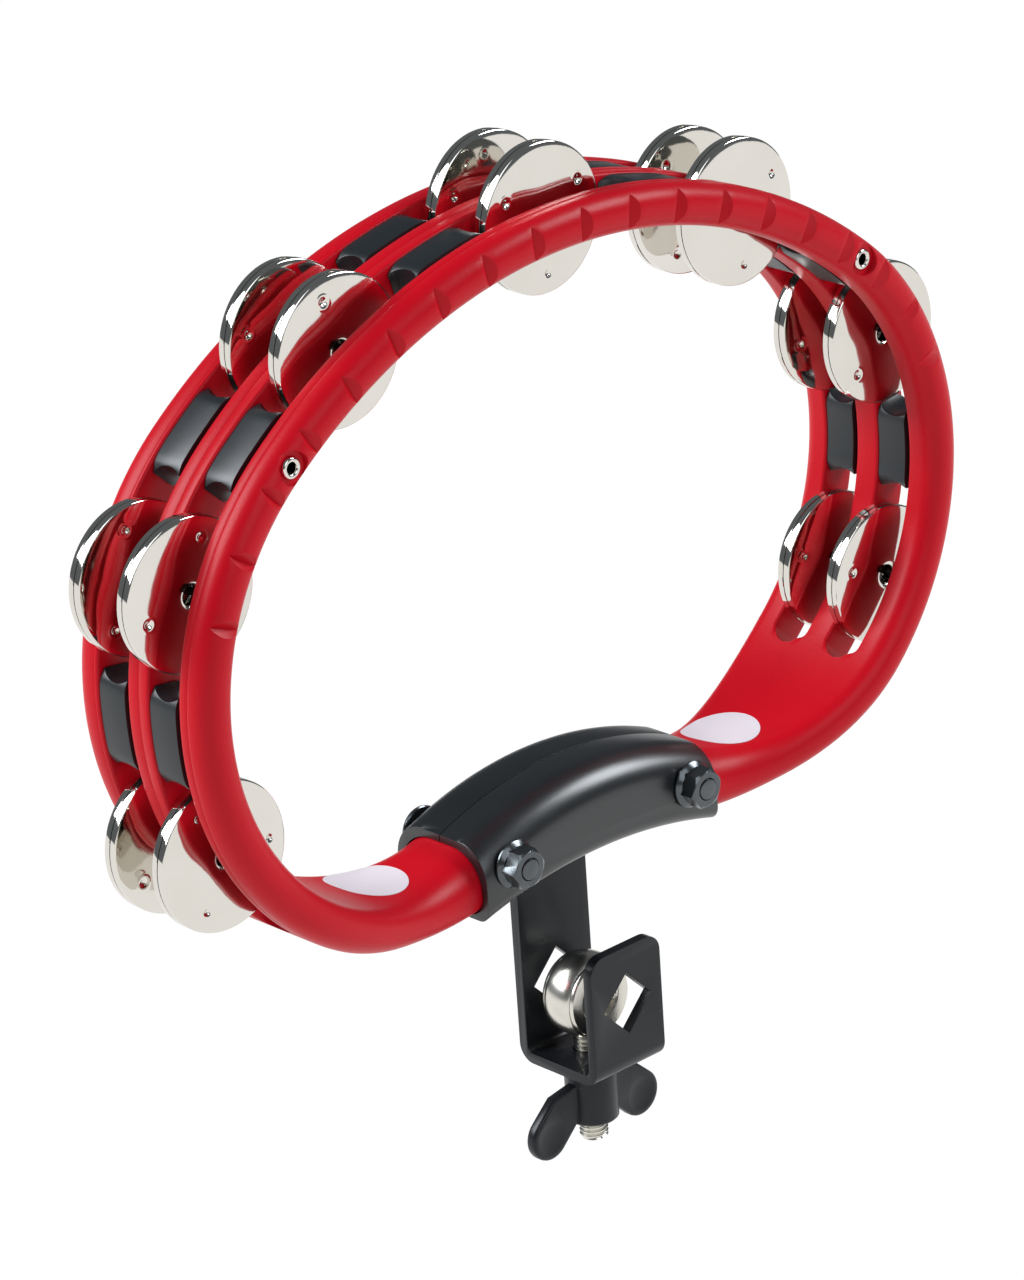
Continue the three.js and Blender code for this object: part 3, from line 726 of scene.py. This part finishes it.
coat = Finish("powder_coat", {"Specular IOR Level": 0.32})
patch = coat.noise(70)
peel = coat.noise(700, 3, 0.55)
speck = coat.noise(1400, 1) > 0.79
coat_tone = coat.between((0.005, 0.006, 0.008), (0.010, 0.012, 0.015), patch)
speckled = {0: speck * 0.6, 6: coat_tone, 7: (0.10, 0.11, 0.12, 1)}
coat.feed("Base Color", coat.node("Mix", {"data_type": "RGBA"}, speckled, 2))
coat.feed("Roughness", 0.28 + patch * 0.12)
coat.relief(peel, 0.00005, 0.45)

low, high, middle = box_mm("clamp_bracket")
front_face, back_face, base_face = low.y, high.y, low.z
clamp_y = box_mm("eye_bolt")[2].y
bend_height = base_face + STRIP_BEND

strip = bmesh.new()
corners = [strip.verts.new((x, y, STRIP_FRONT_TOP)) for x, y in (
    (-STRIP_HALF, front_face), (STRIP_HALF, front_face),
    (STRIP_HALF, front_face + STRIP_THICK), (-STRIP_HALF, front_face + STRIP_THICK))]
strip.faces.new(corners)
end = strip.faces[:] + strip.edges[:] + strip.verts[:]


def pull(shape, end, travel):
    """Pulls the end of the strip straight on."""
    return bmesh.ops.spin(shape, geom=end, cent=(0, 0, 0), axis=(1, 0, 0), angle=0, steps=1,
                          dvec=travel)["geom_last"]


def fold(shape, end, y):
    """Bends the end of the strip a quarter turn about a line along X."""
    return bmesh.ops.spin(shape, geom=end, cent=(0, y, bend_height), axis=(1, 0, 0), angle=pi / 2, steps=10,
                          dvec=(0, 0, 0))["geom_last"]


end = pull(strip, end, (0, 0, bend_height - STRIP_FRONT_TOP))
end = fold(strip, end, front_face + STRIP_BEND)
end = pull(strip, end, (0, back_face - front_face - 2 * STRIP_BEND, 0))
end = fold(strip, end, back_face - STRIP_BEND)
end = pull(strip, end, (0, 0, HEAD_HEIGHT - bend_height))
bmesh.ops.recalc_face_normals(strip, faces=strip.faces)
top_corners = [edge for edge in strip.edges if abs(edge.verts[0].co.x - edge.verts[1].co.x) < 0.01
               and all(abs(vert.co.z - STRIP_FRONT_TOP) < 0.01 for vert in edge.verts)]
round_off(strip, top_corners, STRIP_CORNER, 8, clamp=False)

strip = carve(strip, arched_bar(back_face - STRIP_THICK, back_face, HEAD_HALF, HEAD_REACH), "UNION")
holes = bmesh.new()
diamond = Matrix.Rotation(pi / 4, 4, "Y") @ Matrix.Diagonal((DIAMOND_SIDE, 1.5 * THROUGH, DIAMOND_SIDE, 1))
bmesh.ops.create_cube(holes, size=1, matrix=diamond)
round_bar(holes, STUD_BORE_RADIUS, (0, clamp_y, base_face), 4 * STRIP_THICK, "Z", 48)
add_bolt_bores(holes, y=back_face, length=4 * STRIP_THICK)
strip = carve(strip, holes)
bmesh.ops.dissolve_limit(strip, angle_limit=radians(1), verts=strip.verts, edges=strip.edges)
soften(strip, STRIP_EDGE, 3, 40)
add_piece(strip, "clamp_strip", coat, "root", ["clamp_bracket"])


# ---- handle shells ----
# Two half-shells moulded in satin black plastic, which close round the handle with a fine seam along
# the top. Two bolts hold them, and the back one has a pad that fills the recess behind the strip.

SHELL_CROWN = 67.1
SHELL_CROWN_RADIUS = 112
SHELL_TOP_ROUND = 10
SHELL_BELLY = 43.4
SHELL_BELLY_RADIUS = 157
SHELL_BOTTOM_ROUND = 4
SHELL_END_ROUND = 0.7
SEAM_ROUND = 0.8
SEAM_HALF = 0.15
HANDLE_GAP = 0.3
SHELL_PAD = 15.0
SHELL_STEPS = 36

shell_black = Finish("shell_black", {"Specular IOR Level": 0.8})
shade = shell_black.noise(50)
leather = shell_black.noise(1900, 3, 0.6)
shell_black.feed("Base Color", shell_black.between((0.004, 0.005, 0.006), (0.008, 0.010, 0.012), shade))
shell_black.feed("Roughness", 0.27 + shade * 0.08)
shell_black.relief(leather, 0.00005, 0.35)

low, high, _ = box_mm("handle_shell_front")
shell_end, shell_half = high.x, -low.y


def whole_shell():
    """Both half-shells in one, solid: a bar whose top and underside follow two arcs."""
    bar = bmesh.new()
    corners = [bar.verts.new((-shell_end, y, z)) for y, z in (
        (-shell_half, 0), (shell_half, 0), (shell_half, 1), (-shell_half, 1))]
    bar.faces.new(corners)
    bmesh.ops.spin(bar, geom=everything(bar), cent=(0, 0, 0), axis=(1, 0, 0), angle=0, steps=SHELL_STEPS,
                   dvec=(2 * shell_end / SHELL_STEPS, 0, 0))
    for vert in bar.verts:
        x = vert.co.x
        top = SHELL_CROWN - SHELL_CROWN_RADIUS + sqrt(SHELL_CROWN_RADIUS ** 2 - x * x)
        under = SHELL_BELLY - SHELL_BELLY_RADIUS + sqrt(SHELL_BELLY_RADIUS ** 2 - x * x)
        vert.co.z = top if vert.co.z > 0.5 else under
    bmesh.ops.recalc_face_normals(bar, faces=bar.faces)
    long_edges = sharp_edges(bar, 60, lambda edge: abs(edge.verts[0].co.x - edge.verts[1].co.x) > 0.1)
    middle = (SHELL_CROWN + SHELL_BELLY) / 2 - 6
    for upper, width in ((True, SHELL_TOP_ROUND), (False, SHELL_BOTTOM_ROUND)):
        edges = [edge for edge in long_edges if edge.is_valid and (edge.verts[0].co.z > middle) == upper]
        round_off(bar, edges, width, 12, clamp=False)
    return bar


handle_spans = [(handle_length, 46), (2 * SLOT_STRAIGHT, 160), (handle_length, 46)]
inside = bend_band(straight_band([], handle_spans), HANDLE_GAP)
shell = carve(whole_shell(), inside)
strip_room = STRIP_HALF + HANDLE_GAP
bores = bmesh.new()
add_bolt_bores(bores)
block(bores, (-strip_room, back_face - STRIP_THICK - HANDLE_GAP, 20),
      (strip_room, back_face + HANDLE_GAP, 50))
shell = carve(shell, bores)
bmesh.ops.dissolve_limit(shell, angle_limit=radians(0.4), verts=shell.verts, edges=shell.edges)
shell_mesh = bpy.data.meshes.new("shell_blank")
shell.to_mesh(shell_mesh)
shell.free()
for half_name, side in (("front", -1), ("back", 1)):
    half_shell = bmesh.new()
    half_shell.from_mesh(shell_mesh)
    if side > 0:
        pad = arched_bar(back_face + HEAD_ROOM, SHELL_PAD, HEAD_HALF, HEAD_REACH)
        for hand in (-1, 1):
            drill = bmesh.new()
            add_bolt_bores(drill, (hand,))
            pad = carve(pad, drill)
        half_shell = carve(half_shell, pad, "UNION")
    seam_y = side * SEAM_HALF
    cut = bmesh.ops.bisect_plane(half_shell, geom=everything(half_shell), plane_co=(0, seam_y, 0),
                                 plane_no=(0, -side, 0), clear_outer=True)
    bmesh.ops.holes_fill(half_shell, edges=only(bmesh.types.BMEdge, cut["geom_cut"]), sides=0)
    bmesh.ops.recalc_face_normals(half_shell, faces=half_shell.faces)
    seam = sharp_edges(half_shell, 50, lambda edge: all(
        abs(vert.co.y - seam_y) < 0.01 and vert.co.z > SHELL_CROWN - 10.5 for vert in edge.verts))
    ends = sharp_edges(half_shell, 50, lambda edge: all(
        abs(abs(vert.co.x) - shell_end) < 0.01 for vert in edge.verts))
    round_off(half_shell, seam, SEAM_ROUND, 3)
    round_off(half_shell, [edge for edge in ends if edge.is_valid], SHELL_END_ROUND, 3)
    node = f"handle_shell_{half_name}"
    add_piece(half_shell, f"{node}_moulding", shell_black, "root", [node])
bpy.data.meshes.remove(shell_mesh)


# ---- bolts and flange nuts ----
# Two M6 button-head bolts go through the handle from the back, in black zinc. Each is held at the front
# by a hexagon nut with a round flange.

BOLT_RADIUS = 3
HEX_ACROSS = 10
FLANGE_RADIUS = 6.6
FLANGE_THICK = 1.3
BOLT_HEAD_RADIUS = 6.6
BOLT_HEAD_EDGE = 0.3
BOLT_HEAD_GAP = 0.3
SOCKET_ACROSS = 4
SOCKET_DEPTH = 1.8

zinc = Finish("black_zinc", {"Metallic": 0.9})
zinc_tone = zinc.noise(220)
zinc_grain = zinc.noise(3000, 2, 0.6)
zinc.feed("Base Color", zinc.between((0.07, 0.08, 0.085), (0.125, 0.135, 0.145), zinc_tone))
zinc.feed("Roughness", 0.14 + zinc_tone * 0.12)
zinc.relief(zinc_grain, 0.00003, 0.4)


def hexagon(across, low, high, turn):
    """A six-sided bar about Z with two of its corners on the X axis, turned by an angle from there."""
    shape = bmesh.new()
    corner = across / sqrt(3)
    place = Matrix.Translation((0, 0, (low + high) / 2)) @ Matrix.Rotation(turn, 4, "Z")
    bmesh.ops.create_cone(shape, cap_ends=True, segments=6, radius1=corner, radius2=corner,
                          depth=high - low, matrix=place)
    return shape


def flange_nut_blank(height, turn):
    """A hexagon with a chamfered top on a round flange, standing on zero height."""
    wide = HEX_ACROSS / sqrt(3) + 0.4
    chamfer = turned([(0, 0), (wide, 0), (wide, height - 0.9), (HEX_ACROSS / 2 - 0.2, height), (0, height)],
                     48, closed=False)
    blank = carve(hexagon(HEX_ACROSS, 0, height, turn), chamfer, "INTERSECT")
    flange = turned([(0, 0), (FLANGE_RADIUS, 0), (FLANGE_RADIUS, 0.5), (FLANGE_RADIUS - 0.4, 0.9),
                     (HEX_ACROSS / 2 + 0.3, FLANGE_THICK + 0.25), (0, FLANGE_THICK + 0.25)],
                    48, closed=False)
    return carve(blank, flange, "UNION")


def face_out(shape, x, y, z, forward):
    """Lays a shape drawn up Z along Y, pointing to the front or to the back."""
    turn = Matrix.Rotation(pi / 2 if forward else -pi / 2, 4, "X")
    bmesh.ops.transform(shape, matrix=Matrix.Translation((x, y, z)) @ turn, verts=shape.verts)
    return shape


for hand, nut_turn in (("left", 32), ("right", 39)):
    nut_low, nut_high, nut_middle = box_mm(f"flange_nut_{hand}")
    nut = flange_nut_blank(nut_high.y - nut_low.y, radians(nut_turn))
    bore = bmesh.new()
    round_bar(bore, BOLT_RADIUS + 0.2, (0, 0, 0), 30, "Z", 40)
    nut = carve(nut, bore)
    soften(nut, 0.18, 2, 25)
    face_out(nut, nut_middle.x, nut_high.y, nut_middle.z, True)
    add_piece(nut, f"flange_nut_{hand}_hexagon", zinc, "root", [f"flange_nut_{hand}"])

    low, high, middle = box_mm(f"handle_bolt_{hand}")
    seat = box_mm("handle_shell_back")[1].y + BOLT_HEAD_GAP
    tall = high.y - seat
    dome = [(BOLT_HEAD_RADIUS * cos(turn), 0.5 + (tall - 0.5) * sin(turn))
            for turn in (radians(step * 6) for step in range(10))]
    underside = [(0, 0), (BOLT_HEAD_RADIUS - BOLT_HEAD_EDGE, 0), (BOLT_HEAD_RADIUS, BOLT_HEAD_EDGE)]
    bolt = turned(underside + dome + [(3.1, tall), (0, tall)], 64, closed=False)
    bolt = carve(bolt, hexagon(SOCKET_ACROSS, tall - SOCKET_DEPTH, tall + 2, 0))
    face_out(bolt, middle.x, seat, middle.z, False)
    shank = bmesh.new()
    round_bar(shank, BOLT_RADIUS, (middle.x, (low.y + seat + 1) / 2, middle.z), seat + 1 - low.y, "Y", 40)
    soften(shank, 0.5, 2, 60)
    bolt = carve(bolt, shank, "UNION")
    add_piece(bolt, f"handle_bolt_{hand}_button_head", zinc, "root",
              [f"handle_bolt_{hand}"])


# ---- eye bolt ----
# A forged and plated steel eye in one piece with an M8 stud, which goes down through the strip's base.
# The wing nut below draws it down, and the eye presses the rod into the two square holes.

EYE_BORE = 6.4
EYE_WAIST = 12
EYE_LIP = 10.6
STUD_RADIUS = 4
STUD_PITCH = 1.25
THREAD_DEPTH = 0.65
STUD_STEPS = 48

low, high, middle = box_mm("eye_bolt")
eye_height = high.z - EYE_WAIST
eye_half = (high.y - low.y) / 2
waist = [(EYE_LIP + (EYE_WAIST - EYE_LIP) * cos(radians(turn)), (eye_half - 1.2) * sin(radians(turn)))
         for turn in range(90, -91, -15)]
eye_outline = [(EYE_BORE + 0.5, eye_half), (EYE_LIP - 0.25, eye_half), (EYE_LIP, eye_half - 0.35)] + waist
eye_outline += [(EYE_LIP, 0.35 - eye_half), (EYE_LIP - 0.25, -eye_half), (EYE_BORE + 0.5, -eye_half),
                (EYE_BORE, 0.6 - eye_half), (EYE_BORE, eye_half - 0.6)]
eye = stand_along_y(turned(eye_outline, 72), (0, clamp_y, eye_height))


def threaded_stud(bottom, top):
    """A stud about Z with a real helical thread: ridges in rings, each raised by one pitch in a turn."""
    rings = int((top - bottom) / STUD_PITCH) + 4
    start = bottom - 2 * STUD_PITCH
    stud = bmesh.new()
    marks = ((STUD_RADIUS - THREAD_DEPTH, 0), (STUD_RADIUS - THREAD_DEPTH, 0.15), (STUD_RADIUS, 0.5),
             (STUD_RADIUS, 0.65))
    line = [stud.verts.new((radius, 0, start + STUD_PITCH * (ring + part)))
            for ring in range(rings) for radius, part in marks]
    edges = [stud.edges.new(pair) for pair in zip(line, line[1:])]
    bmesh.ops.spin(stud, geom=line + edges, cent=(0, 0, 0), axis=(0, 0, 1), angle=2 * pi,
                   steps=STUD_STEPS, dvec=(0, 0, STUD_PITCH / STUD_STEPS))
    bmesh.ops.remove_doubles(stud, verts=stud.verts, dist=0.01)
    for height, side in ((bottom, -1), (top, 1)):
        cut = bmesh.ops.bisect_plane(stud, geom=everything(stud), plane_co=(0, 0, height),
                                     plane_no=(0, 0, side), clear_outer=True)
        bmesh.ops.holes_fill(stud, edges=only(bmesh.types.BMEdge, cut["geom_cut"]), sides=0)
    for vert in stud.verts:
        room = STUD_RADIUS - THREAD_DEPTH - 0.1 + max(vert.co.z - bottom, 0)
        radius = hypot(vert.co.x, vert.co.y)
        if radius > room:
            vert.co.xy = vert.co.xy * room / radius
    bmesh.ops.translate(stud, vec=(0, clamp_y, 0), verts=stud.verts)
    return stud


eye = carve(eye, threaded_stud(low.z, eye_height - EYE_BORE - 1.5), "UNION")

eye_plate = Finish("eye_nickel", {"Metallic": 1.0})
eye_tone = eye_plate.noise(160)
eye_pits = eye_plate.noise(1200, 3, 0.6)
eye_plate.feed("Base Color", eye_plate.between((0.62, 0.60, 0.53), (0.80, 0.78, 0.72), eye_tone))
eye_plate.feed("Roughness", 0.16 + eye_tone * 0.16)
eye_plate.relief(eye_pits, 0.00005, 0.5)
add_piece(eye, "eye_bolt_forging", eye_plate, "eye_bolt", ["eye_bolt"], crease=40)


# ---- wing nut ----
# A cast nut, powder coated black, that turns on the stud below the strip's base. Its two broad wings
# are dished on both faces where the fingers press.

WING_THICK = 3.4
WING_TIP = Vector((17.2, -38.9))
WING_TIP_RADIUS = 6.7
WING_CORNERS = ((6, -26.7), (15.3, -28.2), (6, -37.5))
BARREL_RADIUS = 7.3
BARREL_BOTTOM = -39.4
DISH_RADIUS = 5.2
DISH_DEPTH = 0.75

low, high, middle = box_mm("wing_nut")
tall = high.z - BARREL_BOTTOM
half_outline = [(4.3, 0.9), (4.9, 0), (BARREL_RADIUS - 0.6, 0), (BARREL_RADIUS, 0.6)]
nut = turned(half_outline + [(radius, tall - height) for radius, height in reversed(half_outline)], 64)
bmesh.ops.translate(nut, vec=(0, clamp_y, BARREL_BOTTOM), verts=nut.verts)


def make_wing(side):
    wing = bmesh.new()
    for y in (-WING_THICK / 2, WING_THICK / 2):
        for step in range(36):
            turn = radians(step * 10)
            wing.verts.new((side * (WING_TIP.x + WING_TIP_RADIUS * cos(turn)), clamp_y + y,
                            WING_TIP.y + WING_TIP_RADIUS * sin(turn)))
        for x, z in WING_CORNERS:
            wing.verts.new((side * x, clamp_y + y, z))
    hull = bmesh.ops.convex_hull(wing, input=wing.verts)
    bmesh.ops.delete(wing, geom=only(bmesh.types.BMVert, hull["geom_interior"]), context="VERTS")
    bmesh.ops.dissolve_limit(wing, angle_limit=radians(2), verts=wing.verts, edges=wing.edges)
    dishes = bmesh.new()
    ball = (DISH_RADIUS ** 2 + DISH_DEPTH ** 2) / (2 * DISH_DEPTH)
    for y in (-1, 1):
        centre = (side * WING_TIP.x, clamp_y + y * (WING_THICK / 2 - DISH_DEPTH + ball), WING_TIP.y)
        bmesh.ops.create_uvsphere(dishes, u_segments=96, v_segments=64, radius=ball,
                                  matrix=Matrix.Translation(centre) @ Matrix.Rotation(pi / 2, 4, "X"))
    soften(wing, 0.9, 3, 40)
    return carve(wing, dishes)


for side in (-1, 1):
    nut = carve(nut, make_wing(side), "UNION")
soften(nut, 0.5, 2, 40, lambda edge: edge.verts[0].co.z < -25)
add_piece(nut, "wing_nut_casting", coat, "wing_nut", ["wing_nut"])


# ---- stickers ----
# Two blank white vinyl stickers, egg shaped and as thin as film. They lie on the band's inner face
# beside the shells' ends, and follow its curves.

STICKER_RADIUS = 10.8
STICKER_TIP = 13.0
STICKER_THICK = 0.12
STICKER_GAP = 0.05

vinyl = Finish("white_vinyl", {"Specular IOR Level": 0.5})
vinyl_tone = vinyl.noise(90)
vinyl.feed("Base Color", vinyl.between((0.66, 0.60, 0.64), (0.74, 0.69, 0.73), vinyl_tone))
vinyl.feed("Roughness", 0.30 + vinyl_tone * 0.1)
vinyl.relief(vinyl.noise(400), 0.00003, 0.3)


def on_inner_face(along, y):
    """The point of the band's inner face at a distance along it and across it."""
    flat = BAND_HALF - EDGE_ROUND
    low, high = -BAND_HALF, BAND_HALF
    for _ in range(30):
        across = (low + high) / 2
        beyond = max(abs(across) - flat, 0)
        off = EDGE_ROUND - RAIL_THICK - sqrt(EDGE_ROUND ** 2 - beyond ** 2)
        point = bend(along, across, off)
        if point.y < y:
            low = across
        else:
            high = across
    return point


def off_inner_face(along, y, lift):
    """A point of the inner face, lifted straight off the surface."""
    point = on_inner_face(along, y)
    normal = (on_inner_face(along, y + 0.1) - point).cross(on_inner_face(along + 0.1, y) - point)
    return point + lift * normal.normalized()


for hand, along, across, tip in (("left", -290.5, 3.0, 44), ("right", 291.3, 1.0, 30)):
    sticker = bmesh.new()
    bmesh.ops.create_circle(sticker, cap_ends=True, cap_tris=True, segments=72, radius=1)
    bmesh.ops.subdivide_edges(sticker, edges=sticker.edges, cuts=5, use_grid_fill=True)
    for vert in sticker.verts:
        reach = vert.co.xy.length
        turn = atan2(vert.co.y, vert.co.x)
        radius = STICKER_RADIUS + (STICKER_TIP - STICKER_RADIUS) * max(cos(turn), 0) ** 8
        vert.co.xy = vert.co.xy * (radius if reach > 0 else 1)
    bmesh.ops.rotate(sticker, cent=(0, 0, 0), matrix=Matrix.Rotation(radians(tip), 3, "Z"),
                     verts=sticker.verts)
    lifted = bmesh.ops.extrude_face_region(sticker, geom=sticker.faces[:])["geom"]
    bmesh.ops.translate(sticker, vec=(0, 0, -STICKER_THICK), verts=only(bmesh.types.BMVert, lifted))
    for vert in sticker.verts:
        vert.co = off_inner_face(along + vert.co.x, across + vert.co.y, STICKER_GAP - vert.co.z)
    add_piece(sticker, f"sticker_{hand}", vinyl, "root", [])
